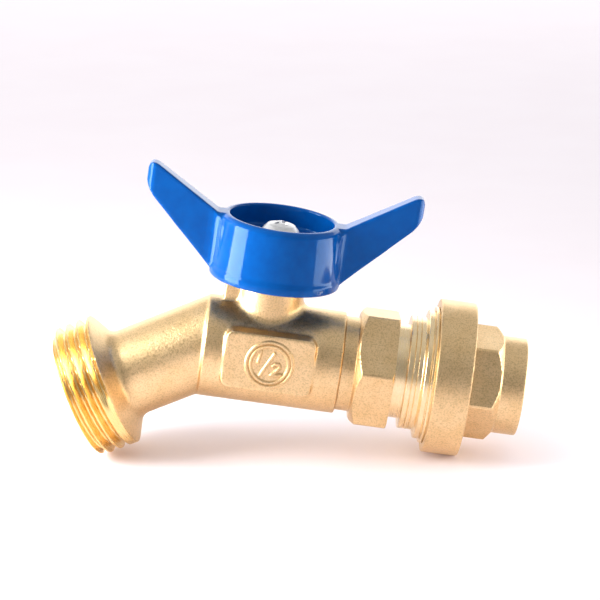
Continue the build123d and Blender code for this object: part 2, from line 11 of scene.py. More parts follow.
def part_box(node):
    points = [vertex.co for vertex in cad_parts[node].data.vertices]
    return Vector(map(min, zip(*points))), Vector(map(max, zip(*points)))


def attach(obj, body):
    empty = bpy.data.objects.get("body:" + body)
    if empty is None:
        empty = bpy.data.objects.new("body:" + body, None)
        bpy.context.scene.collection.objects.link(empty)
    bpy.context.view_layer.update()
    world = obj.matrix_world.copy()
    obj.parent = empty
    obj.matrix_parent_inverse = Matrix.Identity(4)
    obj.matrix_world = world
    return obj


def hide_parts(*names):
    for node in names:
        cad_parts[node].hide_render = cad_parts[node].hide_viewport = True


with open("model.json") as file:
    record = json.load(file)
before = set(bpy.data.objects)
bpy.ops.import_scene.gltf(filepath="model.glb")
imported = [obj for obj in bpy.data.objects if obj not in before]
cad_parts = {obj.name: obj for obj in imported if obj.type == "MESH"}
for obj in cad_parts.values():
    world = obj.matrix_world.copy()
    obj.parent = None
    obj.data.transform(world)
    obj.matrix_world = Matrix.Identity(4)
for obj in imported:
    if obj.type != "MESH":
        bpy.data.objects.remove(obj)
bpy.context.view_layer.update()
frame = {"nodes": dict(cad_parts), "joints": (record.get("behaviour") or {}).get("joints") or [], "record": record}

MM = 0.001
TAU = 2 * math.pi
NODES = frame["nodes"]


def low(node, axis):
    """Lowest coordinate of a CAD node along an axis, in millimetres."""
    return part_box(node)[0][axis] / MM


def high(node, axis):
    """Highest coordinate of a CAD node along an axis, in millimetres."""
    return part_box(node)[1][axis] / MM


def joint(name):
    """A joint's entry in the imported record."""
    return next(j for j in frame["joints"] if j["name"] == name)


def mount(name):
    """A mount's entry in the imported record."""
    return next(m for m in frame["record"]["mounts"] if m["name"] == name)


HEX_CORNER_EASE = 0.988
SHARP_ANGLE = math.radians(25)
PLAIN_FILLET = 0.12
SLACK = 0.01
WELD_DISTANCE = 1e-6
BOX_FACES = [(0, 3, 2, 1), (4, 5, 6, 7), (0, 1, 5, 4), (1, 2, 6, 5), (2, 3, 7, 6), (3, 0, 4, 7)]
STEM_X = joint("handle_turn")["pos_m"][0] / MM
OUTLET_AXIS = Vector(mount("hose_thread")["axis"]).normalized()
OUTLET_FACE = Vector(mount("hose_thread")["pos_m"]) / MM
OUTLET_LENGTH = OUTLET_FACE.z / OUTLET_AXIS.z
BEND_X = OUTLET_FACE.x - OUTLET_LENGTH * OUTLET_AXIS.x
FALL = math.atan2(-OUTLET_AXIS.z, -OUTLET_AXIS.x)


# ---------------------------------------------------------------- mesh helpers
def rounded(corners, steps=5):
    """Closed outline with every (x, r, fillet) corner turned into an arc of that fillet."""
    count = len(corners)
    line = []
    for i in range(count):
        here = np.array(corners[i][:2], float)
        fillet = corners[i][2] if len(corners[i]) > 2 else PLAIN_FILLET
        before = np.array(corners[i - 1][:2], float) - here
        after = np.array(corners[(i + 1) % count][:2], float) - here
        len_before, len_after = np.linalg.norm(before), np.linalg.norm(after)
        before, after = before / len_before, after / len_after
        half = math.acos(max(-1.0, min(1.0, float(before @ after)))) / 2
        if fillet <= 0 or half > math.radians(88):
            line.append(here)
            continue
        reach = min(fillet / math.tan(half), 0.45 * len_before, 0.45 * len_after)
        start, end = here + before * reach, here + after * reach
        for t in np.linspace(0, 1, steps):
            line.append((1 - t) ** 2 * start + 2 * t * (1 - t) * here + t * t * end)
    return np.array(line)


def refined(line, spacing):
    """The closed outline with long spans cut to about the given spacing where it says so."""
    points = []
    for i, here in enumerate(line):
        there = line[(i + 1) % len(line)]
        gap = spacing((here[0] + there[0]) / 2, (here[1] + there[1]) / 2)
        parts = max(1, int(math.ceil(np.linalg.norm(there - here) / gap)))
        for k in range(parts):
            points.append(here + (there - here) * k / parts)
    return np.array(points)


def make_object(name, vertices, faces, smooth=True):
    """Mesh object from millimetre vertices."""
    mesh = bpy.data.meshes.new(name)
    mesh.from_pydata([tuple(v) for v in np.asarray(vertices) * MM], [], faces)
    mesh.polygons.foreach_set("use_smooth", [smooth] * len(mesh.polygons))
    mesh.update()
    piece = bpy.data.objects.new(name, mesh)
    bpy.context.scene.collection.objects.link(piece)
    return piece


def grid_faces(rings, count, wrap_rings=True):
    """Quads of a grid of closed rings; wrap_rings also joins the last ring to the first."""
    faces = []
    for i in range(rings if wrap_rings else rings - 1):
        j = (i + 1) % rings
        for k in range(count):
            m = (k + 1) % count
            faces.append((i * count + k, j * count + k, j * count + m, i * count + m))
    return faces


def spun(name, outline, place=None, count=288, shape=None):
    """Closed outline (x, r) turned about +X, its radius reshaped by shape(x, r, angle), then placed."""
    angle = np.arange(count) * TAU / count
    x = np.repeat(outline[:, :1], count, 1)
    r = np.repeat(outline[:, 1:2], count, 1)
    a = np.repeat(angle[None, :], len(outline), 0)
    if shape:
        r = shape(x, r, a)
    points = np.stack([x, r * np.cos(a), r * np.sin(a)], -1).reshape(-1, 3)
    piece = make_object(name, points, grid_faces(len(outline), count))
    if place:
        piece.data.transform(place)
    recalc(piece)
    piece.data.set_sharp_from_angle(angle=SHARP_ANGLE)
    return piece


def recalc(piece):
    """Makes every face point outwards."""
    bm = bmesh.new()
    bm.from_mesh(piece.data)
    bmesh.ops.recalc_face_normals(bm, faces=bm.faces)
    bm.to_mesh(piece.data)
    bm.free()


def hexagon(angle, across_flats, turn):
    """Radius of a hexagon at each angle, corners eased; a flat leans turn degrees from +Z to -Y."""
    flat = (angle - math.radians(turn + 90) + math.pi / 6) % (math.pi / 3) - math.pi / 6
    sharp = across_flats / 2 / np.cos(flat)
    return np.minimum(sharp, across_flats / math.sqrt(3) * HEX_CORNER_EASE)


def apply_modifiers(piece):
    """Bakes the modifiers into the mesh."""
    graph = bpy.context.evaluated_depsgraph_get()
    mesh = bpy.data.meshes.new_from_object(piece.evaluated_get(graph))
    piece.modifiers.clear()
    piece.data = mesh


def cut_away(piece, cutter):
    """Cuts one closed mesh out of another; the cutter is used up."""
    modifier = piece.modifiers.new("cut", "BOOLEAN")
    modifier.operation = "DIFFERENCE"
    modifier.solver = "EXACT"
    modifier.object = cutter
    apply_modifiers(piece)
    bpy.data.objects.remove(cutter)


def weld(piece):
    """Joins the vertices that a hard edge keeps apart."""
    bm = bmesh.new()
    bm.from_mesh(piece.data)
    bmesh.ops.remove_doubles(bm, verts=bm.verts, dist=WELD_DISTANCE)
    bm.to_mesh(piece.data)
    bm.free()


# ---------------------------------------------------------------- materials
def new_material(name):
    """Empty node material with a Principled shader."""
    material = bpy.data.materials.new(name)
    material.use_nodes = True
    tree = material.node_tree
    tree.nodes.clear()
    output = tree.nodes.new("ShaderNodeOutputMaterial")
    shader = tree.nodes.new("ShaderNodeBsdfPrincipled")
    tree.links.new(shader.outputs[0], output.inputs[0])
    return material, tree, shader


def noise(tree, scale, detail=3.0, roughness=0.55, grain=(1, 1, 1), tilt=0.0):
    """Noise in object space: grains per metre, their relative size per axis, and a turn about Y."""
    coords = tree.nodes.new("ShaderNodeTexCoord")
    mapping = tree.nodes.new("ShaderNodeMapping")
    mapping.vector_type = "TEXTURE"
    mapping.inputs["Rotation"].default_value = (0, tilt, 0)
    mapping.inputs["Scale"].default_value = grain
    node = tree.nodes.new("ShaderNodeTexNoise")
    node.inputs["Scale"].default_value = scale
    node.inputs["Detail"].default_value = detail
    node.inputs["Roughness"].default_value = roughness
    tree.links.new(coords.outputs["Object"], mapping.inputs["Vector"])
    tree.links.new(mapping.outputs[0], node.inputs["Vector"])
    return node.outputs["Fac"]


def ramp(tree, source, stops):
    """Colour ramp on a grey value; stops are (position, colour)."""
    node = tree.nodes.new("ShaderNodeValToRGB")
    while len(node.color_ramp.elements) < len(stops):
        node.color_ramp.elements.new(0.5)
    for element, (position, colour) in zip(node.color_ramp.elements, stops):
        element.position = position
        element.color = (*colour, 1)
    tree.links.new(source, node.inputs[0])
    return node.outputs[0]


def spread(tree, source, lowest, highest):
    """Remaps the middle range of a noise to lowest..highest."""
    node = tree.nodes.new("ShaderNodeMapRange")
    for name, value in {"From Min": 0.3, "From Max": 0.7, "To Min": lowest, "To Max": highest}.items():
        node.inputs[name].default_value = value
    tree.links.new(source, node.inputs["Value"])
    return node.outputs[0]


def bump(tree, source, height, strength=1.0, under=None):
    """Bump of a height in metres, stacked on another bump."""
    node = tree.nodes.new("ShaderNodeBump")
    node.inputs["Distance"].default_value = height
    node.inputs["Strength"].default_value = strength
    tree.links.new(source, node.inputs["Height"])
    if under is not None:
        tree.links.new(under, node.inputs["Normal"])
    return node.outputs[0]


def forged_brass():
    """Sand-blasted forging: fine pitted grain, faint colour clouds."""
    material, tree, shader = new_material("forged_brass")
    shader.inputs["Metallic"].default_value = 1.0
    clouds = noise(tree, 260, 2.0)
    grain = noise(tree, 3300, 2.0, 0.6)
    colour = ramp(tree, clouds, [(0.3, (0.79, 0.55, 0.28)), (0.7, (0.86, 0.62, 0.34))])
    dark = ramp(tree, grain, [(0.30, (0.72, 0.70, 0.66)), (0.55, (1.0, 1.0, 1.0))])
    mix = tree.nodes.new("ShaderNodeMix")
    mix.data_type = "RGBA"
    mix.blend_type = "MULTIPLY"
    mix.inputs["Factor"].default_value = 1.0
    tree.links.new(colour, mix.inputs["A"])
    tree.links.new(dark, mix.inputs["B"])
    tree.links.new(mix.outputs["Result"], shader.inputs["Base Color"])
    tree.links.new(spread(tree, grain, 0.30, 0.44), shader.inputs["Roughness"])
    coarse = bump(tree, noise(tree, 1100, 2.0), 0.00006, 0.6)
    tree.links.new(bump(tree, grain, 0.00005, 0.9, coarse), shader.inputs["Normal"])
    return material


def turned_brass(name, tilt, colours):
    """Machined brass: brighter, yellower, with fine tool lines round its tilted axis."""
    material, tree, shader = new_material(name)
    shader.inputs["Metallic"].default_value = 1.0
    lines = noise(tree, 900, 3.0, 0.7, (0.17, 6.5, 6.5), tilt)
    colour = ramp(tree, noise(tree, 300, 2.0), [(0.3, colours[0]), (0.7, colours[1])])
    tree.links.new(colour, shader.inputs["Base Color"])
    tree.links.new(spread(tree, lines, 0.24, 0.30), shader.inputs["Roughness"])
    tree.links.new(bump(tree, lines, 0.000006, 0.5), shader.inputs["Normal"])
    return material


def blue_enamel():
    """Glossy deep blue enamel with a faint orange peel and slightly uneven gloss."""
    material, tree, shader = new_material("blue_enamel")
    shader.inputs["Specular IOR Level"].default_value = 0.25
    shader.inputs["Specular Tint"].default_value = (0.55, 0.85, 1.0, 1.0)
    colour = ramp(tree, noise(tree, 420, 2.0), [(0.3, (0.001, 0.074, 0.33)), (0.7, (0.001, 0.090, 0.38))])
    tree.links.new(colour, shader.inputs["Base Color"])
    tree.links.new(spread(tree, noise(tree, 1600, 3.0), 0.06, 0.12), shader.inputs["Roughness"])
    tree.links.new(bump(tree, noise(tree, 500, 1.0), 0.00003, 0.25), shader.inputs["Normal"])
    return material


def plain_material(name, metallic, colours, roughness, scale, height):
    """Small parts: two-tone noise colour, uneven gloss and a fine bump."""
    material, tree, shader = new_material(name)
    shader.inputs["Metallic"].default_value = metallic
    grain = noise(tree, scale, 3.0)
    tree.links.new(ramp(tree, grain, [(0.3, colours[0]), (0.7, colours[1])]), shader.inputs["Base Color"])
    tree.links.new(spread(tree, grain, *roughness), shader.inputs["Roughness"])
    tree.links.new(bump(tree, grain, height, 0.6), shader.inputs["Normal"])
    return material


MATERIALS = {
    "forged_brass": forged_brass(),
    "machined_brass": turned_brass("turned_brass", 0.0, ((0.90, 0.68, 0.38), (0.95, 0.75, 0.47))),
    "outlet_brass": turned_brass(
        "turned_outlet_brass", math.pi - FALL, ((0.86, 0.58, 0.22), (0.92, 0.66, 0.30))),
    "blue_enamel": blue_enamel(),
    "chromed_ball": plain_material(
        "polished_chrome", 1.0, ((0.80, 0.81, 0.83), (0.86, 0.86, 0.88)), (0.05, 0.10), 700, 0.000004),
    "ptfe": plain_material(
        "white_ptfe", 0.0, ((0.82, 0.82, 0.79), (0.90, 0.90, 0.88)), (0.40, 0.55), 900, 0.00001),
    "seal_rubber": plain_material(
        "black_rubber", 0.0, ((0.012, 0.012, 0.013), (0.030, 0.030, 0.031)), (0.50, 0.70), 1500, 0.00001),
    "plated_steel": plain_material(
        "zinc_plate", 1.0, ((0.66, 0.66, 0.67), (0.76, 0.76, 0.77)), (0.36, 0.50), 1400, 0.00001),
}


def finish_piece(piece, node, body, looks):
    """Materials and body of a new piece; the CAD node it replaces is hidden."""
    piece.data.materials.clear()
    for name in looks:
        piece.data.materials.append(MATERIALS[name])
    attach(piece, body)
    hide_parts(node)
    return piece


def paint_faces(piece, slot_index, test):
    """Gives every face whose centre passes the test that material index."""
    for face in piece.data.polygons:
        if test(face.center / MM):
            face.material_index = slot_index


# ---------------------------------------------------------------- threads
def thread_radius(x, r, a, thread):
    """Radius after cutting a right-hand V groove; it deepens over its first part of a turn."""
    start, phase, pitch, root, crest, flat, fade = thread
    theta = (a - math.radians(phase)) % TAU
    along = (x - start) / pitch - theta / TAU
    turn = np.maximum(np.round(along), 0)
    off = np.abs(along - turn) * pitch
    wall = np.clip((off - flat / 2) / ((pitch - 2 * flat) / 2), 0, 1)
    depth = np.where(turn < 0.5, np.clip(theta / fade, 0, 1), 1.0)
    depth = depth * depth * (3 - 2 * depth)
    cut = crest - (crest - root) * depth * (1 - wall)
    return np.where(r > root, np.minimum(r, np.maximum(cut, root)), r)


# ---------------------------------------------------------------- forged body
BODY_VOXEL = 0.26
BODY_SMOOTHING = 10
PAD_FACE_Y = -10.5
FLARE_START = 14.0
FLARE_FOOT = 16.6
FLARE_EDGE = 19.4
FLARE_END = 21.5
CREST_R = 13.485
ROOT_R = 12.1
RIM_R = 12.74
RIM_SETBACK = 0.02
HOSE_PITCH = 25.4 / 11.5
THREAD_PIECE_START = 19.0
BORE_R = 6.7
MOUTH_R = 8.4
MOUTH_FLOOR = 22.5
MARK_X = -50.7
MARK_Z = 0.7
MARK_RELIEF = 0.34
MARK_REACH = 5.3
STROKE_HALF = 0.16
STROKE_EDGE = 0.26
MARK_RINGS = (4.55, 3.75)
MARK_STROKES = (
    [(-2.45, 2.15), (-1.95, 2.55), (-2.3, 0.2)],
    [(-1.6, -2.4), (0.75, 2.3)],
    [(0.75, -0.2), (1.2, 0.3), (1.85, 0.25), (2.1, -0.3), (1.45, -1.2), (0.6, -2.1), (1.6, -2.0),
     (2.5, -1.8)],
)
OUTLET_PLACE = Matrix.Translation((BEND_X * MM, 0, 0)) @ Matrix.Rotation(math.pi - FALL, 4, "Y")


def merged(name, parts):
    """One object from several closed meshes, which are used up."""
    bm = bmesh.new()
    for part in parts:
        bm.from_mesh(part.data)
        bpy.data.objects.remove(part)
    mesh = bpy.data.meshes.new(name)
    bm.to_mesh(mesh)
    bm.free()
    piece = bpy.data.objects.new(name, mesh)
    bpy.context.scene.collection.objects.link(piece)
    return piece


def fused(piece, voxel, smoothing):
    """Melts overlapping shells into one skin with soft inner and outer edges; sizes in millimetres."""
    piece.data.transform(Matrix.Scale(1 / MM, 4))
    remesh = piece.modifiers.new("fuse", "REMESH")
    remesh.mode = "VOXEL"
    remesh.voxel_size = voxel
    remesh.use_smooth_shade = True
    smooth = piece.modifiers.new("soften", "SMOOTH")
    smooth.iterations = smoothing
    smooth.factor = 0.5
    apply_modifiers(piece)
    piece.data.transform(Matrix.Scale(MM, 4))


def stroke_distance(x, z):
    """Distance in the pad's plane from a point to the nearest line of the size mark."""
    best = min(abs(math.hypot(x, z) - radius) for radius in MARK_RINGS)
    for points in MARK_STROKES:
        for (ax, az), (bx, bz) in zip(points, points[1:]):
            length2 = (bx - ax) ** 2 + (bz - az) ** 2
            t = max(0, min(1, ((x - ax) * (bx - ax) + (z - az) * (bz - az)) / length2))
            best = min(best, math.hypot(x - ax - t * (bx - ax), z - az - t * (bz - az)))
    return best


def emboss_mark(piece):
    """Raises the ring and the size, one half, out of the front pad."""
    bm = bmesh.new()
    bm.from_mesh(piece.data)
    centre = Vector((MARK_X, 0, MARK_Z)) * MM

    def on_mark(point):
        flat = math.hypot(point.x - centre.x, point.z - centre.z)
        return point.y < (PAD_FACE_Y + 0.25) * MM and flat < MARK_REACH * MM

    edges = {e for f in bm.faces if on_mark(f.calc_center_median()) for e in f.edges}
    bmesh.ops.subdivide_edges(bm, edges=list(edges), cuts=2, use_grid_fill=True)
    for vertex in bm.verts:
        if on_mark(vertex.co):
            off = stroke_distance((vertex.co.x - centre.x) / MM, (vertex.co.z - centre.z) / MM)
            t = max(0, min(1, 1 - (off - STROKE_HALF) / STROKE_EDGE))
            vertex.co.y -= MARK_RELIEF * t * t * (3 - 2 * t) * MM
    bm.to_mesh(piece.data)
    bm.free()


def cut_at_flare(piece):
    """Takes the coarse thread off the forging and closes the cut as a flat ring."""
    bm = bmesh.new()
    bm.from_mesh(piece.data)
    plane = Vector((BEND_X, 0, 0)) * MM + OUTLET_AXIS * FLARE_EDGE * MM
    everything = bm.verts[:] + bm.edges[:] + bm.faces[:]
    cut = bmesh.ops.bisect_plane(bm, geom=everything, plane_co=plane, plane_no=OUTLET_AXIS, clear_outer=True)
    rim = [g for g in cut["geom_cut"] if isinstance(g, bmesh.types.BMEdge)]
    bmesh.ops.bridge_loops(bm, edges=rim)
    bm.to_mesh(piece.data)
    bm.free()


def make_body():
    """Forging: the CAD body with a whole flare, melted into soft edges, with the raised mark."""
    forging = bpy.data.objects.new("forging", NODES["valve_body"].data.copy())
    bpy.context.scene.collection.objects.link(forging)
    for vertex in forging.data.vertices:
        vertex.co.y = max(vertex.co.y, PAD_FACE_Y * MM)
    flare = spun("flare", np.array([
        (FLARE_START, BORE_R), (FLARE_START, 8.6), (FLARE_FOOT, 8.75),
        (FLARE_EDGE, CREST_R), (FLARE_END, CREST_R), (FLARE_END, BORE_R),
    ]), OUTLET_PLACE)
    body = merged("valve_body_forging", [forging, flare])
    weld(body)
    fused(body, BODY_VOXEL, BODY_SMOOTHING)
    cut_at_flare(body)
    recalc(body)
    emboss_mark(body)
    body.data.polygons.foreach_set("use_smooth", [True] * len(body.data.polygons))
    finish_piece(body, "valve_body", "valve", ["forged_brass"])


def make_outlet_thread():
    """Machined end of the outlet: hose thread, chamfered rim and washer seat."""
    rim = OUTLET_LENGTH - RIM_SETBACK
    line = rounded([
        (THREAD_PIECE_START, 12.2, 0), (19.15, 12.85, 0.02), (19.5, CREST_R, 0.05), (26.75, CREST_R, 0.15),
        (rim, RIM_R, 0.15), (rim, MOUTH_R, 0.2), (MOUTH_FLOOR, MOUTH_R, 0.1),
        (MOUTH_FLOOR, BORE_R, 0.1), (THREAD_PIECE_START, BORE_R + 0.05, 0),
    ])
    line = refined(line, lambda x, r: 0.07 if r > CREST_R - 0.9 else 0.8)
    thread = (20.0, 155.0, HOSE_PITCH, ROOT_R, CREST_R, 0.32, math.radians(60))
    piece = spun("outlet_thread", line, OUTLET_PLACE, 320, lambda x, r, a: np.where(
        r > 12.5, thread_radius(x, r, a, thread), r))
    finish_piece(piece, "valve_body", "valve", ["outlet_brass"])


# ---------------------------------------------------------------- inlet side
ADAPTER_HEX_AF = 22.0
ADAPTER_HEX_TURN = -7.6
ADAPTER_HEX_RIGHT = -26.0
ADAPTER_HEX_LEFT = -33.7
ADAPTER_BORE_R = 6.3
NOSE_BORE_R = 9.0
NECK_R = 9.45
COLLAR_R = 11.35
COLLAR_GROOVE_R = 11.17
COLLAR_LEFT = -23.6
FLANGE_RIGHT = -18.4
FLANGE_LEFT = -18.96
FLANGE_R = 13.72
SEAL_GROOVE_R = 7.35
BODY_THREAD_R = 8.55
TIP_R = 7.95
UNION_CREST_R = 13.45
UNION_ROOT_R = 12.87
UNION_PITCH = 1.0
COUPLING_HEX_AF = 20.0
COUPLING_HEX_TURN = 10.0
COUPLING_HEX_RIGHT = -4.7
RING_RIGHT = -11.0
RING_R = 15.4
RING_BORE_R = 13.7
RING_FLOOR = -13.65
SPIGOT_R = 9.75
SOCKET_R = 7.99
SOCKET_FLOOR = -12.7
TUBE_STOP_R = 6.9


def make_end_adapter():
    """Adapter with flanges, grooved collar, wrench hexagon, union nose and body thread."""
    corner = ADAPTER_HEX_AF / math.sqrt(3)
    nose, tip = high("end_adapter", 0), low("end_adapter", 0)
    shoulder = low("adapter_o_ring", 0) + 1.6
    line = rounded([
        (nose, UNION_ROOT_R, 0.05), (nose - 0.5, UNION_CREST_R, 0.05),
        (FLANGE_RIGHT, UNION_CREST_R, 0), (FLANGE_RIGHT, FLANGE_R, 0.1),
        (FLANGE_LEFT, FLANGE_R, 0.12), (FLANGE_LEFT, 12.6, 0.04), (-19.2, 12.6, 0.04), (-19.2, 12.95, 0.12),
        (-20.2, 12.95, 0.25), (-20.65, COLLAR_R, 0.15),
        (-21.5, COLLAR_R, 0.05), (-21.6, COLLAR_GROOVE_R, 0.04), (-21.7, COLLAR_R, 0.05),
        (-22.4, COLLAR_R, 0.05), (-22.5, COLLAR_GROOVE_R, 0.04), (-22.6, COLLAR_R, 0.05),
        (COLLAR_LEFT, COLLAR_R, 0.25), (COLLAR_LEFT, NECK_R, 0.12), (ADAPTER_HEX_RIGHT, NECK_R, 0.12),
        (ADAPTER_HEX_RIGHT, corner - 0.6, 0.12), (-26.35, corner, 0.1), (-32.35, corner, 0.3),
        (ADAPTER_HEX_LEFT, 10.45, 0.4), (ADAPTER_HEX_LEFT, 9.42, 0.25),
        (shoulder, 9.42, 0.1), (shoulder, SEAL_GROOVE_R, 0.05), (-38.2, SEAL_GROOVE_R, 0.05),
        (-38.2, BODY_THREAD_R, 0.05), (-43.9, BODY_THREAD_R, 0.1), (-44.2, TIP_R, 0.1), (tip, TIP_R, 0.1),
        (tip, ADAPTER_BORE_R, 0.15), (nose - 5.5, ADAPTER_BORE_R, 0.2), (nose - 3.0, NOSE_BORE_R, 0.2),
        (nose, NOSE_BORE_R, 0.15),
    ])
    line = refined(line, lambda x, r: 0.06 if x > FLANGE_RIGHT and r > 12.5 else 0.35)
    thread = (FLANGE_RIGHT + 0.2, 0.0, UNION_PITCH, UNION_ROOT_R, UNION_CREST_R, 0.14, math.radians(40))

    def shape(x, r, a):
        on_hex = (x < ADAPTER_HEX_RIGHT + SLACK) & (x > ADAPTER_HEX_LEFT - SLACK) & (r > NECK_R + 0.05)
        r = np.where(on_hex, np.minimum(r, hexagon(a, ADAPTER_HEX_AF, ADAPTER_HEX_TURN)), r)
        on_thread = (x > FLANGE_RIGHT + SLACK) & (r > UNION_ROOT_R - 0.07)
        return np.where(on_thread, thread_radius(x, r, a, thread), r)

    piece = spun("end_adapter_turned", line, None, 480, shape)
    forged_left = low("end_adapter", 0) + 8.0
    finish_piece(piece, "end_adapter", "valve", ["machined_brass", "forged_brass"])
    paint_faces(piece, 1, lambda c: forged_left < c.x < -25.98 and math.hypot(c.y, c.z) > 8.0 and (
        c.x < ADAPTER_HEX_LEFT or math.hypot(c.y, c.z) > 9.5))


def make_inlet_coupling():
    """Solder socket, wrench hexagon and union ring in one forging."""
    corner = COUPLING_HEX_AF / math.sqrt(3)
    left, right = low("inlet_coupling", 0), high("inlet_coupling", 0)
    line = rounded([
        (right, SOCKET_R, 0.2), (right, SPIGOT_R, 0.4), (COUPLING_HEX_RIGHT, SPIGOT_R, 0.35),
        (-6.25, corner, 0.3), (RING_RIGHT, corner, 0.25), (RING_RIGHT, RING_R, 0.5), (left, RING_R, 0.4),
        (left, RING_BORE_R, 0.2), (RING_FLOOR, RING_BORE_R, 0.1), (RING_FLOOR, TUBE_STOP_R, 0.1),
        (SOCKET_FLOOR, TUBE_STOP_R, 0.05), (SOCKET_FLOOR, SOCKET_R, 0.05),
    ])
    line = refined(line, lambda x, r: 0.08 if x < -13.7 and r < 14 else 0.35)

    def shape(x, r, a):
        outer = (x < COUPLING_HEX_RIGHT + SLACK) & (x > RING_RIGHT - SLACK)
        outer &= (r > SPIGOT_R - SLACK) & (r < corner + SLACK)
        r = np.where(outer, np.minimum(r, hexagon(a, COUPLING_HEX_AF, COUPLING_HEX_TURN)), r)
        female = (x < -13.9) & (x > left + 0.3) & (r < 13.75) & (r > 13.6)
        wave = (x / UNION_PITCH - a / TAU) % 1.0
        return np.where(female, 13.65 + 0.4 * np.clip(1 - np.abs(wave - 0.5) * 2.4, 0, 1), r)

    piece = spun("inlet_coupling_forging", line, None, 480, shape)
    finish_piece(piece, "inlet_coupling", "coupling", ["forged_brass", "machined_brass"])
    paint_faces(piece, 1, lambda c: math.hypot(c.y, c.z) < 8.1 or (c.x < -12 and math.hypot(c.y, c.z) < 14))


# ---------------------------------------------------------------- handle
HANDLE_VOXEL = 0.2
HANDLE_SMOOTHING = 9
HUB_R = 12.5
HUB_BOTTOM = 15.27
HUB_TOP = 27.95
SKIRT_R = 13.08
SKIRT_INSIDE_R = 10.9
CUP_R = 10.4
CUP_FLOOR = 23.6
SKIRT_CEILING = 20.6
STEM_HOLE_R = 3.6
WING_START_X = 10.9
WING_STEP = 0.25
WING_TIP_X = 27.45
WING_FILLET = 2.5
WING_HALF_ROOT = 2.3
WING_HALF_TIP = 1.8
LOWER_EDGE_START = 16.5
LOWER_EDGE_SLOPE = 0.985
UPPER_EDGE_START = 27.85
UPPER_EDGE_SLOPE = 0.61
TIP_ROUND = 2.3
TIP_PLAN_ROUND = 1.6
RIB_ANGLES = (-27.4, 117.4)
SCREW_HEAD_R = 3.74
SCREW_SHANK_R = 1.98
STEM_PLACE = Matrix.Translation((STEM_X * MM, 0, 0)) @ Matrix.Rotation(-math.pi / 2, 4, "Y")


def wing_half(x):
    """Half thickness of a wing at a distance from the stem axis, with its fillet into the hub."""
    flat = WING_HALF_ROOT + (WING_HALF_TIP - WING_HALF_ROOT) * (x - HUB_R) / (WING_TIP_X - HUB_R)
    into = max(0, x - (WING_TIP_X - TIP_PLAN_ROUND)) / TIP_PLAN_ROUND
    flat *= math.sqrt(max(0.1, 1 - into * into))
    centre_y = WING_HALF_ROOT + WING_FILLET
    centre_x = math.sqrt((HUB_R + WING_FILLET) ** 2 - centre_y**2)
    if x >= centre_x:
        return flat
    return max(flat, centre_y - math.sqrt(max(0, WING_FILLET**2 - (centre_x - x) ** 2)))


def wing_edges(x):
    """Lower and upper edge of a wing, rounded off at the tip."""
    lower = LOWER_EDGE_START + max(0, x - 13.0) * LOWER_EDGE_SLOPE
    upper = UPPER_EDGE_START + max(0, x - 12.7) * UPPER_EDGE_SLOPE
    into = max(0, x - (WING_TIP_X - TIP_ROUND))
    drop = TIP_ROUND - math.sqrt(max(0, TIP_ROUND**2 - into**2))
    return lower + 0.55 * drop, upper - drop


def make_wing(side):
    """One wing as a row of sections from inside the hub's wall to the tip, narrower at the rim's height."""
    count = int((WING_TIP_X - WING_START_X) / WING_STEP)
    stations = [WING_START_X + WING_STEP * i for i in range(count)] + [WING_TIP_X]
    vertices = []
    for x in stations:
        half = wing_half(x)
        crown = min(half, WING_HALF_ROOT)
        bottom, top = wing_edges(x)
        shoulder = top - 0.01 - 0.9 * (half - crown)
        corners = (
            (-half, bottom), (half, bottom), (half, shoulder),
            (crown, top), (-crown, top), (-half, shoulder),
        )
        vertices += [(STEM_X + side * x, y, z) for y, z in corners]
    per_section = len(corners)
    faces = grid_faces(len(stations), per_section, wrap_rings=False)
    last = per_section * (len(stations) - 1)
    faces += [tuple(range(per_section - 1, -1, -1)), tuple(range(last, last + per_section))]
    piece = make_object("wing", vertices, faces)
    recalc(piece)
    return piece


def make_rib(angle):
    """One stop rib between the hub's centre and its skirt."""
    turn = Matrix.Translation((STEM_X, 0, 0)) @ Matrix.Rotation(math.radians(angle), 4, "Z")
    outer, inner, half = -11.2, -6.75, 1.2
    corners = [(x, y, z) for z in (HUB_BOTTOM + 1.0, SKIRT_CEILING + 0.3)
               for x, y in ((outer, -half), (inner, -half), (inner, half), (outer, half))]
    piece = make_object("rib", [turn @ Vector(c) for c in corners], BOX_FACES)
    recalc(piece)
    return piece


def make_handle():
    """Cast wing handle: skirted hub with a cup on top, two wings and two stop ribs."""
    hub = spun("hub", rounded([
        (HUB_BOTTOM, SKIRT_R, 0.6), (16.9, SKIRT_R, 0.7), (17.7, 12.72, 0.8), (27.1, 12.14, 0.8),
        (27.8, 11.5, 0.5), (HUB_TOP, 10.9, 0.3), (HUB_TOP, CUP_R, 0.25), (CUP_FLOOR, CUP_R, 0.6),
        (CUP_FLOOR, STEM_HOLE_R, 0.1), (SKIRT_CEILING, STEM_HOLE_R, 0.1),
        (SKIRT_CEILING, SKIRT_INSIDE_R, 0.5), (HUB_BOTTOM, SKIRT_INSIDE_R, 0.3),
    ]), STEM_PLACE)
    ribs = [make_rib(angle) for angle in RIB_ANGLES]
    handle = merged("wing_handle", [hub, make_wing(1), make_wing(-1)] + ribs)
    fused(handle, HANDLE_VOXEL, HANDLE_SMOOTHING)
    handle.data.polygons.foreach_set("use_smooth", [True] * len(handle.data.polygons))
    finish_piece(handle, "handle", "handle", ["blue_enamel"])


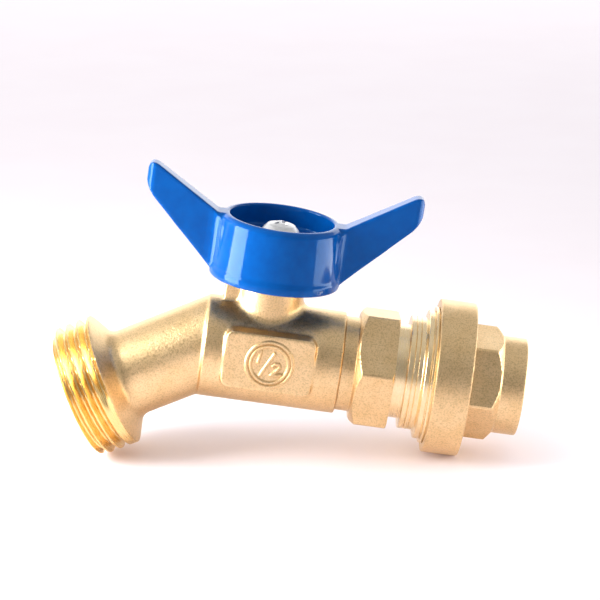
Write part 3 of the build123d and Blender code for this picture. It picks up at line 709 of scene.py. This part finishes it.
def make_handle_screw():
    """Round-topped pan-head screw with a cross recess."""
    seat = high("handle_lock_washer", 2)
    top, bottom = high("handle_screw", 2), low("handle_screw", 2)
    piece = spun("pan_head_screw", refined(rounded([
        (top, 0.001, 0), (top - 0.05, 1.2, 0.5), (top - 0.5, 2.7, 0.8), (top - 1.6, 3.7, 0.8),
        (seat, SCREW_HEAD_R, 0.15), (seat, SCREW_SHANK_R, 0.1),
        (bottom + 0.6, SCREW_SHANK_R, 0.1), (bottom, 1.5, 0.1), (bottom, 0.001, 0),
    ]), lambda x, r: 0.4), STEM_PLACE, 96)
    for angle in (45, 135):
        turn = Matrix.Translation((STEM_X, 0, 0)) @ Matrix.Rotation(math.radians(angle), 4, "Z")
        corners = [(x, y, z) for z, half, reach in ((top - 1.1, 0.3, 1.2), (top + 0.5, 0.5, 2.3))
                   for x, y in ((-reach, -half), (reach, -half), (reach, half), (-reach, half))]
        arm = make_object("recess_arm", [turn @ Vector(c) for c in corners], BOX_FACES)
        recalc(arm)
        cut_away(piece, arm)
    weld(piece)
    piece.data.set_sharp_from_angle(angle=SHARP_ANGLE)
    finish_piece(piece, "handle_screw", "handle", ["plated_steel"])


# ---------------------------------------------------------------- make everything
make_body()
make_outlet_thread()
make_end_adapter()
make_inlet_coupling()
make_handle()
make_handle_screw()

CARRIED_OVER = {
    "union_gasket": "seal_rubber", "adapter_o_ring": "seal_rubber", "stem_o_ring": "seal_rubber",
    "ball": "chromed_ball", "outlet_seat": "ptfe", "inlet_seat": "ptfe", "stem_thrust_washer": "ptfe",
    "packing_ring_1": "ptfe", "packing_ring_2": "ptfe", "packing_ring_3": "ptfe",
    "stem": "machined_brass", "gland_nut": "machined_brass", "gland_follower": "machined_brass",
    "handle_flat_washer": "plated_steel", "handle_lock_washer": "plated_steel",
}
for node, look in CARRIED_OVER.items():
    for socket in NODES[node].material_slots:
        socket.material = MATERIALS[look]


# ---------------------------------------------------------------- studio
FLOOR_TILT = math.radians(8.25)
FLOOR_POINT = Vector((-81.0, 0, -25.45)) * MM
FLOOR_HALF = 4.0
CAMERA_PLACE = Vector((-65.0, -577.85, 171.51)) * MM
CAMERA_YAW = math.radians(1.86)
CAMERA_FALL = math.radians(15.45)
CAMERA_ROLL = math.radians(8.305)
CAMERA_LENS = 181
SENSOR_WIDTH = 36


def make_floor():
    """Pale paper floor, tilted as the valve lies on it."""
    along = Vector((math.cos(FLOOR_TILT), 0, math.sin(FLOOR_TILT)))
    across = Vector((0, 1, 0))
    corners = [FLOOR_POINT + along * u * FLOOR_HALF + across * v * FLOOR_HALF
               for u, v in ((-1, -1), (1, -1), (1, 1), (-1, 1))]
    floor = make_object("studio_floor", [c / MM for c in corners], [(0, 1, 2, 3)], smooth=False)
    material, tree, shader = new_material("pale_paper")
    colour = ramp(tree, noise(tree, 40, 2.0), [(0.3, (0.94, 0.875, 0.925)), (0.7, (0.95, 0.89, 0.94))])
    tree.links.new(colour, shader.inputs["Base Color"])
    shader.inputs["Roughness"].default_value = 0.9
    shader.inputs["Specular IOR Level"].default_value = 0.1
    floor.data.materials.append(material)


def make_light(name, place, target, size, energy, colour=(1, 1, 1)):
    """Rectangular softbox aimed at a point; place and target in metres."""
    data = bpy.data.lights.new(name, "AREA")
    data.shape = "RECTANGLE"
    data.size, data.size_y = size
    data.energy = energy
    data.color = colour
    lamp = bpy.data.objects.new(name, data)
    lamp.location = place
    lamp.visible_camera = False
    lamp.rotation_euler = (Vector(target) - Vector(place)).to_track_quat("-Z", "Y").to_euler()
    bpy.context.scene.collection.objects.link(lamp)


def make_world():
    """White room that is darker towards -Y, where the photographer stands."""
    world = bpy.data.worlds.new("white_room")
    world.use_nodes = True
    tree = world.node_tree
    background = tree.nodes["Background"]
    background.inputs["Color"].default_value = (1, 1, 1, 1)
    coords = tree.nodes.new("ShaderNodeTexCoord")
    split = tree.nodes.new("ShaderNodeSeparateXYZ")
    tree.links.new(coords.outputs["Generated"], split.inputs[0])
    shade = tree.nodes.new("ShaderNodeMapRange")
    shade.interpolation_type = "SMOOTHSTEP"
    for name, value in {"From Min": -0.95, "From Max": -0.25, "To Min": 0.36, "To Max": 0.68}.items():
        shade.inputs[name].default_value = value
    tree.links.new(split.outputs["Y"], shade.inputs["Value"])
    tree.links.new(shade.outputs[0], background.inputs["Strength"])
    bpy.context.scene.world = world


def make_camera():
    """Long lens, looking slightly down, rolled so that the valve rests on a level floor."""
    yaw, fall, roll = CAMERA_YAW, CAMERA_FALL, CAMERA_ROLL
    forward = Vector((math.sin(yaw) * math.cos(fall), math.cos(yaw) * math.cos(fall), -math.sin(fall)))
    level = forward.cross(Vector((0, 0, 1))).normalized()
    upright = level.cross(forward)
    right = level * math.cos(roll) + upright * math.sin(roll)
    up = right.cross(forward)
    data = bpy.data.cameras.new("camera")
    data.sensor_width = SENSOR_WIDTH
    data.lens = CAMERA_LENS
    data.clip_end = 50
    camera = bpy.data.objects.new("camera", data)
    turn = Matrix((right, up, -forward)).transposed().to_4x4()
    camera.matrix_world = Matrix.Translation(CAMERA_PLACE) @ turn
    bpy.context.scene.collection.objects.link(camera)
    bpy.context.scene.camera = camera


make_floor()
make_world()
make_light("left_window", (-0.257, -0.048, 0.034), (-0.052, 0, 0.02), (0.12, 0.17), 1.1, (1, 0.99, 0.97))
make_light("left_room", (-0.62, 0.12, 0.22), (-0.05, 0, 0.02), (0.8, 0.45), 0.8)
make_light("right_card", (0.055, 0.005, 0.015), (-0.052, 0, 0.02), (0.09, 0.045), 0.06)
make_light("back_wall", (0.1, 0.85, 0.27), (0.05, 0, 0.15), (1.8, 0.55), 4.8)
make_camera()
bpy.context.scene.view_settings.view_transform = "Standard"
